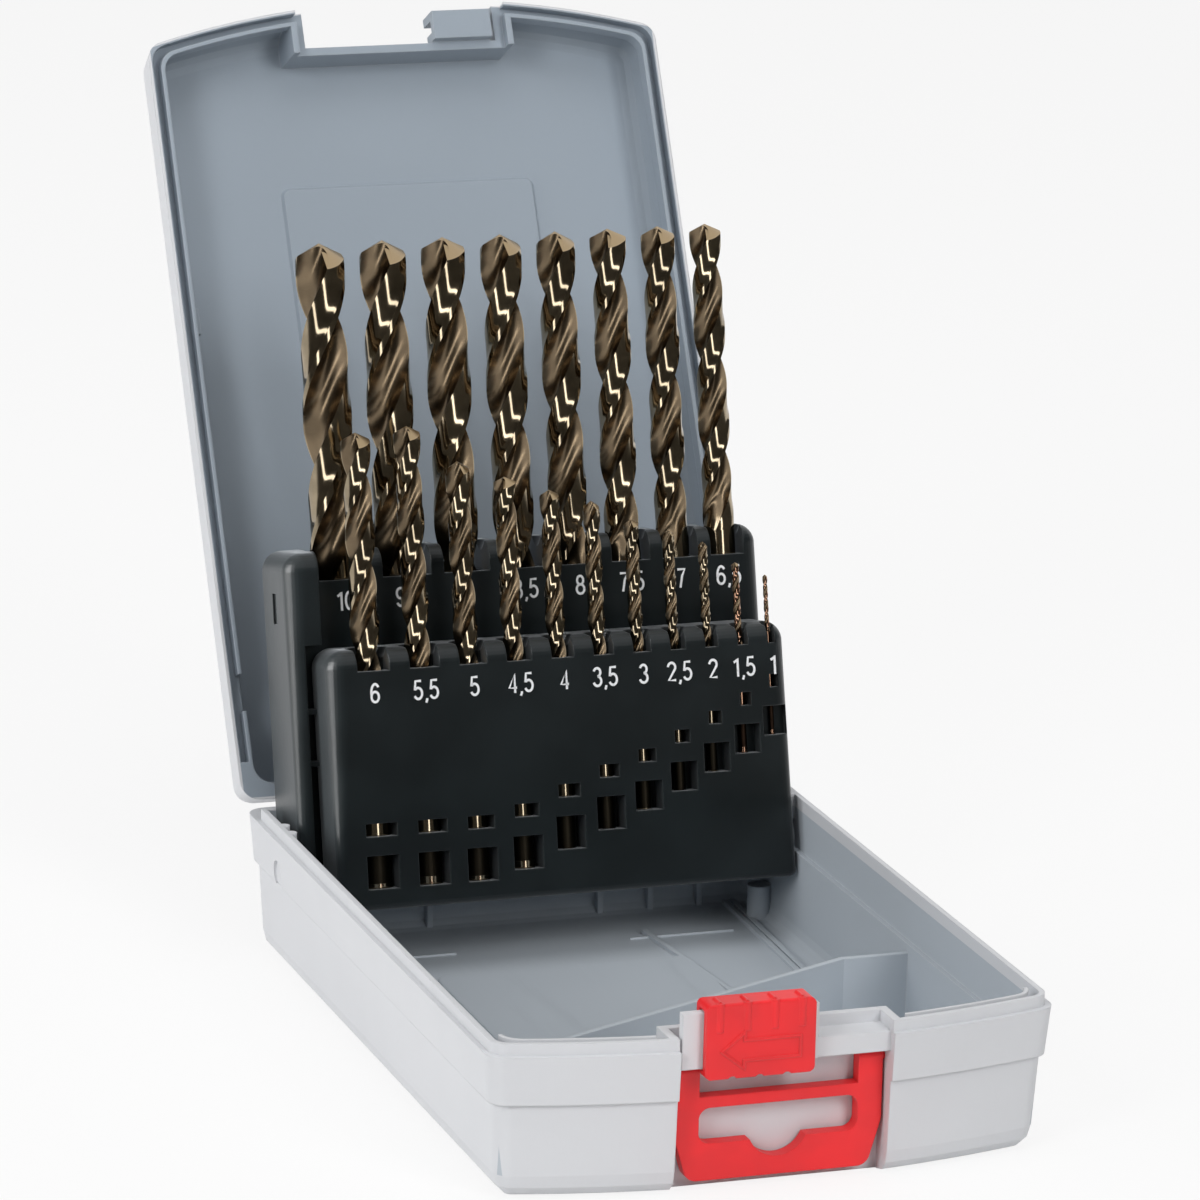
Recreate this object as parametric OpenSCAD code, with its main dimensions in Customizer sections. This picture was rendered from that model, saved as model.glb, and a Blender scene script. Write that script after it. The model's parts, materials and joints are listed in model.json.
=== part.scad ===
// Drill bit case: a hinged case with a tilting two-tier holder for 19 twist drills.
// Millimetres, +Z up, hinge at +Y, latch at -Y. The origin is the middle of the footprint, on the
// surface that the case stands on. The model is drawn open, with the holder raised.

/* [Case] */
// Overall width of the rim
case_w = 112; // [108:1:130]
// Length of the case at its side walls, from the back to a front corner
case_l = 161; // [158:1:185]
// How far the middle of the bowed front stands out past its corners
front_bow = 8; // [4:0.5:12]
// Height of the parting plane where the lid rests
base_h = 28.9; // [28:0.1:34]
// Depth of the lid above the parting plane
lid_h = 13; // [12.5:0.1:18]
// Wall thickness of the base and the lid
wall = 1.7; // [1.4:0.1:1.9]
// Thickness of the floor and of the lid's top
floor_t = 1.8; // [1.2:0.1:2.4]
// Height where the proud band below the rim starts
band_z = 19.3; // [17:0.1:22]
// How far the lower body is set in below the band
body_inset = 1.6; // [1:0.1:1.8]
// Radius of the vertical corners
corner_r = 4; // [3:0.1:6]
// Radius of the lower edge of the base and the upper edge of the lid
edge_r = 5; // [3:0.1:6]

/* [Rim] */
// Height of the sealing lip above the parting plane
lip_h = 2.3; // [1.5:0.1:3]
// Thickness of the sealing lip
lip_t = 1.1; // [0.8:0.1:1.4]
// Gap between the lip and the lid's two skirts
lip_gap = 0.3; // [0.2:0.05:0.4]
// Thickness of the lid's outer skirt
skirt_t = 0.8; // [0.6:0.1:1]
// Thickness of the thin rib inside the front lip
inner_rib_t = 0.7; // [0.5:0.1:1]

/* [Tray] */
// Height of the divider that closes off the front of the tray
divider_top = 18.6; // [10:0.1:19]
// Thickness of the divider
divider_t = 1.2; // [0.8:0.1:2]
// Distance of the divider's right end behind the front corners
divider_y = 67.5; // [60:0.5:72]
// Slope of the divider's slanting part, across over along
divider_slope = 0.47; // [0.3:0.01:0.55]
// Width of the moulded ribs on the floor
rib_w = 1.2; // [0.8:0.1:2]
// Height of the moulded ribs and the raised panel on the floor
rib_h = 0.8; // [0.4:0.1:1.2]
// Radius of the raised panel's corners
panel_r = 4; // [3:0.5:6]

/* [Latch and hanger recess] */
// Width of the recess in the front
recess_w = 42; // [41.6:0.1:46]
// Distance from the front corners back to the recess wall
recess_back = 1; // [0.5:0.1:1.5]
// Depth of the rail across the recess
rail_d = 5.8; // [5:0.1:7]
// Height of the rail
rail_t = 3.9; // [3:0.1:5]
// Height of the latch plate above the rail
plate_h = 7; // [5:0.1:8]
// Thickness of the latch plate
plate_t = 1.8; // [1.4:0.1:2.2]
// How far the latch plate stands out past the rail
plate_out = 0.6; // [0.3:0.1:1]
// Length of the latch plate on the base
plate_w = 26.8; // [22:0.1:28]
// Length of the lid's part of the latch plate
keeper_w = 12.8; // [8:0.1:13]

/* [Latch] */
// Width of the latch
latch_w = 21.5; // [18:0.1:23]
// Wall thickness of the latch
latch_t = 1.5; // [1.2:0.1:2]
// Radius of the latch's corners, seen from the front
latch_corner = 1.4; // [1:0.1:1.8]
// Sliding clearance between the latch and its plate
latch_gap = 0.4; // [0.3:0.05:0.5]
// Distance from the recess's left side to the open latch
latch_start = 4.5; // [4:0.1:6]
// Number of grip ribs on the latch
grip_count = 4; // [2:1:6]

/* [Hanger] */
// Width across the hanger's arms
hanger_w = 41; // [38:0.1:41.4]
// Length of the hanger from its pivot axis to its lower edge
hanger_l = 21.2; // [18:0.1:21.8]
// Thickness of the hanger
hanger_t = 2.8; // [2:0.1:3]
// Width of the hanger's arms and sides
arm_w = 4.8; // [3:0.1:5]
// Radius of the hanger's pivot pins
hanger_pin_r = 1; // [0.8:0.05:1.1]
// Radial clearance of the hanger's and the holder's pivot pins
pin_fit = 0.05; // [0.02:0.01:0.09]

/* [Hinge] */
// Distance from the back wall to the hinge axis
hinge_out = 1.3; // [1.2:0.1:1.6]
// Radius of the hinge knuckles
knuckle_r = 2.1; // [1.9:0.1:2.4]
// Radius of the hinge pins moulded on the lid
hinge_pin_r = 1.1; // [0.8:0.05:1.3]
// Radial clearance of the hinge pins
hinge_fit = 0.06; // [0.02:0.01:0.09]
// Angle between the open lid and the closed lid
lid_open = 118.2; // [100:0.1:120]

/* [Holder] */
// Distance of the holder's pivot in front of the back wall
pivot_back = 22; // [21.6:0.1:25]
// Height of the holder's pivot above the ground
pivot_z = 21.6; // [21.4:0.1:22.6]
// Radius of the holder's pivot pins
pivot_r = 2.6; // [2:0.05:3]
// Backward lean of the raised holder
holder_lean = 12.5; // [6:0.1:13]
// Height of the front tier
front_tier_h = 52.5; // [50:0.5:56]
// Height of the back tier
back_tier_h = 72; // [68:0.5:74]
// Depth of the front tier
front_tier_d = 12.4; // [11:0.1:13]
// Depth of the back tier
back_tier_d = 13.8; // [13.4:0.1:15]
// Gap between the tiers
tier_gap = 1.4; // [1:0.1:2]
// Radius of the rounded tops of the tiers
tier_r = 4; // [3:0.1:4.5]
// Gap between each end of the holder and the walls beside it
holder_gap = 0.6; // [0.4:0.1:1]

/* [Drill bits] */
// Diametral clearance of each bore over its drill
bore_play = 0.5; // [0.3:0.05:0.6]
// Wall left in front of the drills in the front tier
front_wall = 2; // [1.2:0.1:2.6]
// Distance from the front tier's left side to its first drill's axis
front_first = 9.3; // [8.4:0.1:10.4]
// Distance from the back tier's left side to its first drill's axis
back_first = 13.3; // [12:0.1:14.6]
// Solid foot left under the longest drill of the back tier
back_foot = 1; // [0.8:0.1:2]
// Height of the lowest drill window above the holder's foot
window_z = 4.2; // [4.2:0.1:6]
// Rise of the windows from one drill to the next
window_step = 3.34; // [3:0.02:3.4]
// Gap under each drill's shank in its bore
seat_gap = 0.1; // [0.05:0.05:0.3]

/* [Hidden] */
eps = 0.01;
$fn = 48;

// drill sizes with overall and flute lengths of the jobber series, and for the front tier how far
// each drill's seat lies below its window
BACK_DRILLS = [[10, 133, 87], [9.5, 125, 81], [9, 125, 81], [8.5, 117, 75],
               [8, 117, 75], [7.5, 109, 69], [7, 109, 69], [6.5, 101, 63]];
FRONT_DRILLS = [[6, 93, 57, 1.3], [5.5, 93, 57, 0.6], [5, 86, 52, 1.3], [4.5, 80, 47, 0.7],
                [4, 75, 43, 2.2], [3.5, 70, 39, 3.3], [3, 61, 33, 2], [2.5, 57, 30, 3.9],
                [2, 49, 24, 2.1], [1.5, 40, 18, 1.1], [1, 34, 12, 1.3]];
BACK_NAMES = ["drill_10_0", "drill_9_5", "drill_9_0", "drill_8_5",
              "drill_8_0", "drill_7_5", "drill_7_0", "drill_6_5"];
FRONT_NAMES = ["drill_6_0", "drill_5_5", "drill_5_0", "drill_4_5", "drill_4_0", "drill_3_5",
               "drill_3_0", "drill_2_5", "drill_2_0", "drill_1_5", "drill_1_0"];

// plan of the case
half_w = case_w / 2;
half_l = case_l / 2;
bow_r = (half_w * half_w + front_bow * front_bow) / (2 * front_bow);
bow_cy = -half_l - front_bow + bow_r;
draft = 0.8;
draft_in = 0.3;
corner_in = 1.5;
lip_corner = corner_r - lip_t;
lip_in = skirt_t + lip_gap;
lip_back = lip_in + lip_t;
body_wall_in = body_inset + wall;
step_z = band_z + 1;
post_h = 7.4;

// recess, rail and latch plate at the front
recess_x = recess_w / 2;
recess_y = -half_l + recess_back;
rail_y = recess_y - rail_d;
rail_z = base_h - rail_t;
plate_y = rail_y - plate_out;
plate_top = base_h + plate_h;
plate_x = -recess_x + 0.5;
keeper_x = recess_x - 1.2 - keeper_w;
keeper_z = base_h + lip_gap;
riser_top = plate_top - 1.4;
skirt_end = recess_x + lip_back + lip_gap + skirt_t;
front_rib_end = 6;

// latch
latch_x = -recess_x + latch_start;
latch_face = plate_y - latch_gap - latch_t;
latch_low = rail_z - latch_gap - latch_t;
latch_top = plate_top + latch_gap + latch_t;
latch_back = plate_y + plate_t + latch_gap + latch_t;
leg_h = 3.2;

// hanger
hanger_y = recess_y - hanger_t / 2 - 0.5;
hanger_z = rail_z - 1.9;
hanger_foot = hanger_z - hanger_l;
slot_low = hanger_foot + 7.2;
slot_top = hanger_foot + 14.2;
bar_top = hanger_foot + 16.4;
dip_r = 6;

// hinge
hinge_y = half_l + hinge_out;
hinge_z = base_h;
EAR_X = [22, 40];
tooth_r = 1.1;
ear_w = 6;
ear_gap = 0.3;

// holder: Y runs back from its front face, Z up from its foot
pivot_y = half_l - pivot_back;
pivot_off = 10.4;
pivot_up = 7.9;
socket_end = half_w - 1.6;
dimple_x = half_w - 1.1;
holder_left = -(half_w - body_wall_in) + holder_gap + 1.6;
holder_right = half_w - body_wall_in - holder_gap;
front_left = holder_left + 5;
back_face = front_tier_d + tier_gap;
holder_back = back_face + back_tier_d;
flange_face = 9.5;
flange_w = 3;
edge_round = 1.5;
notch_play = 0.8;
notch_front = 4.4;
notch_back = 6;
lead_in = 2;
back_wall = 1.5;
back_tip_h = back_foot + BACK_DRILLS[0][1];
window_web = 3.8;
upper_window_h = 2.7;
front_x0 = front_left + front_first;
back_x0 = holder_left + back_first;
front_last = holder_right - 3.3;
back_last = holder_right - 7.05;

// pitch of the flutes over the drill's radius, for a helix of 28 degrees
pitch_per_r = 11.82;

GREY = [0.74, 0.76, 0.79];
RED = [0.86, 0.22, 0.24];
BLACK = [0.12, 0.13, 0.14];
BRONZE = [0.55, 0.45, 0.33];

// sum of a list's items before index k
function before(list, k) = k == 0 ? 0 : before(list, k - 1) + list[k - 1];
function diameters(drills) = [for (d = drills) d[0]];
// distance of drill k from the first one when they touch
function row_x(drills, k) =
    let (d = diameters(drills))
    before(d, k) + (d[k] - d[0]) / 2;
// place of drill k in a row that leaves equal walls between its first and last drill
function spaced_x(drills, first, last, k) =
    let (n = len(drills) - 1)
    first + row_x(drills, k) + (last - first - row_x(drills, n)) * k / n;
function front_x(k) = spaced_x(FRONT_DRILLS, front_x0, front_last, k);
function back_x(k) = spaced_x(BACK_DRILLS, back_x0, back_last, k);
function front_off(k) = front_wall + FRONT_DRILLS[k][0] / 2;
function back_off(k) = back_face + back_wall + BACK_DRILLS[k][0] / 2;
// sill of the window of drill k, level for the first drills and then rising
function sill(k) = max(window_z, window_z + 1.7 + window_step * (k - 3));
function window_h(k) = k < 6 ? 6.8 : 6;
function front_seat(k) = sill(k) - FRONT_DRILLS[k][3];
function back_seat(k) = back_tip_h - BACK_DRILLS[k][1];

// outline of the case drawn in by a distance, with round corners
module plan(inset, r = corner_r) {
    offset(r = r) offset(delta = -inset - r)
        intersection() {
            translate([-half_w, -half_l - front_bow]) square([case_w, case_l + front_bow]);
            translate([0, bow_cy]) circle(bow_r, $fn = 360);
        }
}

// slab of the outline between two heights
module plan_slab(z0, z1, inset, r = corner_r) {
    translate([0, 0, z0]) linear_extrude(z1 - z0) plan(inset, r);
}

// closed body from floor_z up, whose lower edge is rounded and whose walls draw out with height
module rounded_tub(height, inset, radius, floor_z = 0, r = corner_r, lean = draft) {
    hull() {
        for (a = [0, 30, 60, 90])
            let (in = radius * (1 - cos(a)))
            translate([0, 0, floor_z + radius * (1 - sin(a))])
                linear_extrude(eps) plan(inset + lean + in, max(0, r - in));
        translate([0, 0, height - eps]) linear_extrude(eps) plan(inset, r);
    }
}

// box between two corners
module box(a, b) {
    translate(a) cube(b - a);
}

// cylinder along X from x0 to x1
module rod(x0, x1, y, z, r) {
    translate([x0, y, z]) rotate([0, 90, 0]) cylinder(h = x1 - x0, r = r);
}

module mirror_copy() {
    children();
    mirror([1, 0, 0]) children();
}

// thin wall between two points of the floor plan
module wall_run(p, q, z0, z1, t) {
    d = q - p;
    length = norm(d);
    translate([p[0], p[1], z0]) rotate([0, 0, atan2(d[1], d[0])])
        translate([-t / 2, -t / 2, 0]) cube([length + t, t, z1 - z0]);
}

// ---- base tray -------------------------------------------------------------------------------

module base_outer() {
    rounded_tub(band_z + eps, body_inset, edge_r);
    hull() {
        plan_slab(band_z, band_z + eps, draft);
        plan_slab(base_h - eps, base_h, 0);
    }
    plan_slab(base_h - eps, base_h + lip_h, lip_in);
}

module base_cavity() {
    rounded_tub(step_z, body_wall_in, edge_r - floor_t, floor_t, corner_in, draft_in);
    plan_slab(step_z - eps, base_h + lip_h + 1, lip_back, lip_corner);
}

// the part of the front that the recess and its walls take from the tray
module recess_block(z0, z1) {
    side = recess_x + wall;
    box([-side, -half_l - front_bow, z0], [side, recess_y + wall, z1]);
}

module recess_cut() {
    top = base_h + lip_h + 1;
    box([-recess_x, -half_l - front_bow - 1, -1], [recess_x, recess_y, top]);
}

// the lip is left off at the back, where the lid's wall swings
module back_lip_cut() {
    reach = 8;
    box([-half_w, half_l - reach, base_h], [half_w, half_l + 1, base_h + lip_h + 1]);
}

module divider() {
    right = half_w - body_wall_in + 0.5;
    bend = [half_w - body_wall_in - 13.7, -half_l + divider_y];
    left_x = -half_w + body_wall_in - 0.5;
    left = [left_x, bend[1] + divider_slope * (left_x - bend[0])];
    wall_run(bend, [right, bend[1]], floor_t - eps, divider_top, divider_t);
    wall_run(left, bend, floor_t - eps, divider_top, divider_t);
}

// slanting ribs on the floor, and two fine lines across it under the holder
module floor_ribs() {
    far = pivot_y + 1.8;
    near = -half_l + divider_y - 3;
    for (run = [[[31.5, near], [24, far]], [[43.9, near], [47, far + 16]], [[45.5, near], [48.6, far + 16]]])
        wall_run(run[0], run[1], floor_t - eps, floor_t + rib_h, rib_w);
    for (x = [[-28, -18], [20, 42]])
        wall_run([x[0], pivot_y - 1], [x[1], pivot_y - 1], floor_t - eps, floor_t + rib_h / 2, rib_w / 2);
}

// raised panel in the tray's floor, with a sloping edge
module floor_panel() {
    half = 27.6 - panel_r;
    front = -half_l + 12 + panel_r;
    far = half_l - 37.1 - panel_r;
    hull() for (step = [0, 1])
        translate([0, 0, floor_t - eps]) linear_extrude(eps + step * rib_h)
            offset(r = panel_r - 0.7 * step) translate([-half, front]) square([2 * half, far - front]);
}

// post on the floor and small webs on the back wall, under the raised holder
module floor_posts() {
    translate([holder_right - 1.9, pivot_y + 5.7, floor_t - eps]) cylinder(h = post_h, r = 2.4);
    for (x = [-17.8, 19.2, 30.2, 41])
        box([x - rib_w / 2, half_l - body_wall_in - 2.4, floor_t - eps],
            [x + rib_w / 2, half_l - wall, floor_t + post_h]);
}

// everything that stands inside the tray, before it is trimmed to the tray's walls
module tray_features() {
    divider();
    floor_ribs();
    floor_panel();
    floor_posts();
    pivot_pads();
}

// socket pads for the holder's pivot pins
module pivot_pads() {
    inner = half_w - body_wall_in;
    mirror_copy()
        rod(inner - 0.1, half_w - wall, pivot_y, pivot_z, pivot_r + 2);
}

// sockets for the pins, and the dimple that marks each of them outside
module pivot_sockets() {
    mirror_copy() {
        rod(half_w - body_wall_in - 1, socket_end, pivot_y, pivot_z, pivot_r + pin_fit);
        rod(dimple_x, half_w + 1, pivot_y, pivot_z, pivot_r + 0.2);
    }
}

// two rounded teeth on each side of the rim that hold the raised holder
module detent_teeth() {
    mirror_copy() for (y = [pivot_y - 3, pivot_y + 2])
        translate([half_w - lip_back - 0.3, y, base_h - 3])
            cylinder(h = lip_h + 3, r = tooth_r);
}

module rail() {
    box([-recess_x - 0.5, rail_y, rail_z], [recess_x + 0.5, recess_y + 0.5, base_h]);
}

module latch_plate() {
    box([plate_x, plate_y, rail_z], [plate_x + plate_w, plate_y + plate_t, plate_top]);
}

// thin rib behind the front lip, on both sides of the recess, and the shelf that it stands on
module front_inner_rib() {
    groove = skirt_t + 2 * lip_gap;
    clear = skirt_end + lip_gap;
    intersection() {
        difference() {
            union() {
                plan_slab(step_z, base_h - lip_gap, lip_back - eps);
                plan_slab(step_z, base_h + lip_h, lip_back + groove);
            }
            plan_slab(step_z - 1, base_h + lip_h + 1, lip_back + groove + inner_rib_t);
            box([-clear, -half_l - front_bow, base_h - lip_gap],
                [clear, -half_l + front_rib_end, base_h + lip_h + 1]);
        }
        front_zone();
    }
}

module front_zone() {
    mirror_copy()
        box([recess_x + wall - eps, -half_l - front_bow - 1, step_z],
            [half_w, -half_l + front_rib_end, base_h + lip_h + 1]);
}

module base_ears() {
    mirror_copy() for (x = EAR_X) {
        rod(x, x + ear_w, hinge_y, hinge_z, knuckle_r);
        box([x, half_l - wall / 2, hinge_z - 6], [x + ear_w, hinge_y, hinge_z - 0.4]);
    }
}

module base_tray() {
    color(GREY) difference() {
        union() {
            difference() {
                base_outer();
                difference() {
                    base_cavity();
                    recess_block(0, base_h + lip_h);
                }
                recess_cut();
                back_lip_cut();
                lid_knuckles(knuckle_r + lip_gap);
            }
            rail();
            latch_plate();
            front_inner_rib();
            detent_teeth();
            base_ears();
            intersection() {
                tray_features();
                rounded_tub(band_z + 8, body_inset + 0.4, edge_r);
            }
        }
        pivot_sockets();
        rod(-recess_x - wall - 1, recess_x + wall + 1, hanger_y, hanger_z, hanger_pin_r + pin_fit);
        mirror_copy() for (x = EAR_X)
            rod(x - 1, x + ear_w + 1, hinge_y, hinge_z, hinge_pin_r + hinge_fit);
    }
}

// ---- lid -------------------------------------------------------------------------------------

module lid_outer() {
    translate([0, 0, base_h + lid_h]) mirror([0, 0, 1]) rounded_tub(lid_h, 0, edge_r);
}

module lid_cavity() {
    translate([0, 0, base_h + lid_h]) mirror([0, 0, 1])
        rounded_tub(lid_h - lip_h - 1, wall, edge_r - floor_t, floor_t);
}

// channel that takes the base's lip, between the outer and the inner skirt
module lip_channel() {
    difference() {
        plan_slab(base_h - 1, base_h + lip_h + lip_gap, skirt_t);
        plan_slab(base_h - 2, base_h + lip_h + 2, lip_back + lip_gap);
        box([-half_w, half_l - 8, base_h - 2], [half_w, half_l + 1, base_h + lip_h + 2]);
    }
}

module lid_mouth() {
    plan_slab(base_h - 1, base_h + lip_h + 1 + eps, lip_back + lip_gap + skirt_t);
}

// space that the latch recess takes from the lid, and the walls round it
module lid_recess() {
    box([-recess_x, -half_l - front_bow - 1, base_h - 1], [recess_x, recess_y, base_h + lid_h + 1]);
}

module lid_recess_walls() {
    box([-skirt_end, -half_l - front_bow, base_h - 1], [skirt_end, recess_y + wall, base_h + lid_h]);
}

// clearance in the lid for the lip that runs round the recess
module recess_lip_channel() {
    side = recess_x + wall + lip_gap;
    difference() {
        box([-side, -half_l - front_bow, base_h - 1],
            [side, recess_y + wall + lip_gap, base_h + lip_h + lip_gap]);
        box([-recess_x, -half_l - front_bow - 1, base_h - 2], [recess_x, recess_y, base_h + lip_h + 1]);
    }
}

// the lid's part of the latch plate, on a shelf that steps over the lip round the recess
module keeper() {
    wall_y = recess_y - lip_gap;
    right = keeper_x + keeper_w;
    box([keeper_x, plate_y, keeper_z], [right, plate_y + plate_t, plate_top]);
    box([keeper_x, plate_y + eps, keeper_z], [right, wall_y, keeper_z + plate_t]);
    box([keeper_x, wall_y - plate_t, keeper_z + eps], [right, wall_y, riser_top]);
    box([keeper_x, wall_y - eps, base_h + lip_h + lip_gap], [right, recess_y + 0.2, riser_top]);
}

// raised panel inside the lid, with a sloping edge
module lid_panel() {
    half = 28 - panel_r / 2;
    front = recess_y + 28 + panel_r / 2;
    far = half_l - 30 - panel_r / 2;
    translate([0, 0, base_h + lid_h - floor_t]) mirror([0, 0, 1]) hull() for (step = [0, 1])
        translate([0, 0, -eps]) linear_extrude(eps + step * rib_h)
            offset(r = panel_r / 2 - 0.6 * step) translate([-half, front]) square([2 * half, far - front]);
}

// small bumps on the lid's inner skirts
module side_bumps() {
    y = -half_l + 0.348 * case_l;
    mirror_copy()
        box([half_w - wall - 3.2, y, base_h + lip_h + 1.2],
            [half_w - wall + 0.2, y + 5.5, base_h + lip_h + 3.4]);
}

// openings in the inner skirt for the base's detent teeth
module tooth_notches() {
    reach = tooth_r + lip_gap;
    mirror_copy()
        box([half_w - wall - 4, pivot_y - 3 - reach, base_h - 1],
            [half_w - lip_back, pivot_y + 2 + reach, base_h + lip_h + lip_gap]);
}

module lid_knuckles(r) {
    mirror_copy()
        rod(EAR_X[0] + ear_w + ear_gap, EAR_X[1] - ear_gap, hinge_y, hinge_z, r);
}

module lid_hinge() {
    lid_knuckles(knuckle_r);
    mirror_copy() {
        box([EAR_X[0] + ear_w + ear_gap, half_l - wall / 2, hinge_z + 0.4],
            [EAR_X[1] - ear_gap, hinge_y, hinge_z + 6]);
        rod(EAR_X[0], EAR_X[1] + ear_w, hinge_y, hinge_z, hinge_pin_r);
    }
}

module lid_closed() {
    difference() {
        union() {
            difference() {
                lid_outer();
                difference() {
                    union() {
                        lid_cavity();
                        lid_mouth();
                    }
                    lid_recess_walls();
                }
                lip_channel();
                recess_lip_channel();
                lid_recess();
            }
            keeper();
            lid_panel();
            side_bumps();
        }
        mirror_copy() for (x = EAR_X)
            rod(x - ear_gap, x + ear_w + ear_gap, hinge_y, hinge_z, knuckle_r + lip_gap);
        tooth_notches();
    }
    lid_hinge();
}

// turns the closed lid about the hinge into its open place
module opened() {
    translate([0, hinge_y, hinge_z]) rotate([-lid_open, 0, 0]) translate([0, -hinge_y, -hinge_z]) children();
}

module lid() {
    color(GREY) opened() lid_closed();
}

// ---- bit holder ------------------------------------------------------------------------------

// from the holder's own frame, front face and foot, to the raised place in the case
module raised() {
    translate([0, pivot_y, pivot_z]) rotate([-holder_lean, 0, 0])
        translate([0, -pivot_off, -pivot_up]) children();
}

// upright block with rounded top and front edges
module tier(x0, x1, y0, y1, height) {
    hull() for (x = [x0 + tier_r, x1 - tier_r]) {
        translate([x, y0 + tier_r, height - tier_r]) sphere(tier_r, $fn = 32);
        translate([x, y1 - 1, height - tier_r]) rotate([-90, 0, 0]) cylinder(h = 1, r = tier_r, $fn = 32);
        for (side = [-1, 1])
            translate([x + side * (tier_r - edge_round), y0 + edge_round, edge_round])
                sphere(edge_round, $fn = 16);
        for (side = [-1, 1])
            translate([x + side * (tier_r - edge_round), y1 - edge_round, edge_round])
                sphere(edge_round, $fn = 16);
    }
}

module holder_blocks() {
    tier(front_left, holder_right, 0, front_tier_d, front_tier_h);
    tier(holder_left, holder_right, back_face, holder_back, back_tier_h);
}

// flange at the left end of the back tier, reaching past the front tier's side
module flange() {
    intersection() {
        tier(holder_left, holder_right, flange_face, holder_back, back_tier_h);
        union() {
            box([holder_left - 1, 0, -1], [holder_left + flange_w, holder_back, back_tier_h + 1]);
            box([holder_left - 1, 0, front_tier_h + 1], [front_left + 1.5, holder_back, back_tier_h + 1]);
        }
    }
}

// ribs that join the two tiers and the flange
module tier_ribs() {
    for (z = [6, 29, 39.5])
        box([holder_left + 1, front_tier_d - 2, z], [holder_right - tier_r, back_face + 1, z + 1]);
    for (x = [-30, -6, 18, 40])
        box([x, front_tier_d - 1, 1], [x + 1.5, back_face + 1, front_tier_h - 3]);
}

module pivot_pins() {
    tip = socket_end - 0.25;
    rod(-tip, holder_left + 1, pivot_off, pivot_up, pivot_r);
    rod(holder_right - 1, tip, pivot_off, pivot_up, pivot_r);
    rod(-(half_w - body_wall_in) + holder_gap, holder_left + 1, pivot_off, pivot_up, pivot_r + 1.5);
}

// opening where a bore comes out at the rounded top of its tier: a notch with a flared mouth
module top_notch(x, off, d, face, back, height, depth) {
    r = (d + notch_play) / 2;
    box([x - r, face, height - depth], [x + r, back, height + 1]);
    translate([x, off, height - lead_in]) cylinder(h = lead_in + 1, r1 = r, r2 = r + 1.2);
}

module front_bores() {
    for (k = [0 : len(FRONT_DRILLS) - 1]) {
        d = FRONT_DRILLS[k][0];
        off = front_off(k);
        translate([front_x(k), off, front_seat(k) - seat_gap])
            cylinder(h = front_tier_h, r = (d + bore_play) / 2);
        top_notch(front_x(k), off, d, -1, off, front_tier_h, notch_front);
    }
}

module back_bores() {
    for (k = [0 : len(BACK_DRILLS) - 1]) {
        d = BACK_DRILLS[k][0];
        off = back_off(k);
        translate([back_x(k), off, back_seat(k) - seat_gap])
            cylinder(h = back_tip_h, r = (d + bore_play) / 2);
        top_notch(back_x(k), off, d, back_face - 1, holder_back + 1, back_tier_h, notch_back);
    }
}

// an upper and a lower window in front of each drill of the front tier
module windows() {
    for (k = [0 : len(FRONT_DRILLS) - 1]) {
        d = FRONT_DRILLS[k][0];
        low_w = 5.1 + 0.27 * d;
        up_w = 1 + 0.93 * d;
        depth = front_wall + d;
        x = front_x(k);
        top = sill(k) + window_h(k);
        box([x - low_w / 2, -1, sill(k)], [x + low_w / 2, depth, top]);
        box([x - up_w / 2, -1, top + window_web],
            [x + up_w / 2, depth - d / 2, top + window_web + upper_window_h]);
    }
}

// shallow marks in the outer side of the flange
module flange_marks() {
    mark_z = back_tier_h - 11.3;
    box([holder_left - 1, 18.5, mark_z - 3.1], [holder_left + 0.5, 21, mark_z + 3.1]);
    rod(holder_left, holder_left + 1.4, 19.8, mark_z, 0.6);
}

module bit_holder() {
    color(BLACK) raised() difference() {
        union() {
            holder_blocks();
            flange();
            tier_ribs();
            pivot_pins();
        }
        front_bores();
        back_bores();
        windows();
        flange_marks();
    }
}

// ---- latch and hanger ------------------------------------------------------------------------

// cross-section of the latch in Y and Z: a clip round the plate, open at the back
module latch_section() {
    leg_low = latch_top - latch_t - leg_h;
    lip_end = rail_y + 0.8;
    offset(r = 0.5) offset(delta = -0.5) offset(r = -0.2) offset(delta = 0.2)
    polygon([
        [latch_face, latch_low], [lip_end, latch_low], [lip_end, latch_low + latch_t],
        [plate_y - latch_gap, latch_low + latch_t], [plate_y - latch_gap, latch_top - latch_t],
        [latch_back - latch_t, latch_top - latch_t], [latch_back - latch_t, leg_low],
        [latch_back, leg_low], [latch_back, latch_top], [latch_face, latch_top]
    ]);
}

// scallops along the latch's lower edge
module latch_scallops() {
    pitch = latch_w / grip_count;
    for (k = [0 : grip_count])
        translate([latch_x + k * pitch, latch_face - 1, latch_low - 0.3]) rotate([-90, 0, 0])
            cylinder(h = 1 + latch_t, r = 0.9);
}

// raised grip ribs over the top of the latch
module latch_grips() {
    pitch = latch_w / grip_count;
    for (k = [0 : grip_count - 1])
        translate([latch_x + (k + 0.5) * pitch, latch_face + 0.5, latch_top - 5.4]) {
            cylinder(h = 5.5, r = 0.85);
            translate([0, 0, 5.3]) rotate([-90, 0, 0]) cylinder(h = 3, r = 0.5);
        }
}

// front view of the latch, with rounded corners
module latch_front() {
    translate([latch_x + latch_corner, latch_low + latch_corner])
        offset(r = latch_corner)
            square([latch_w - 2 * latch_corner, latch_top - latch_low - 2 * latch_corner]);
}

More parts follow.
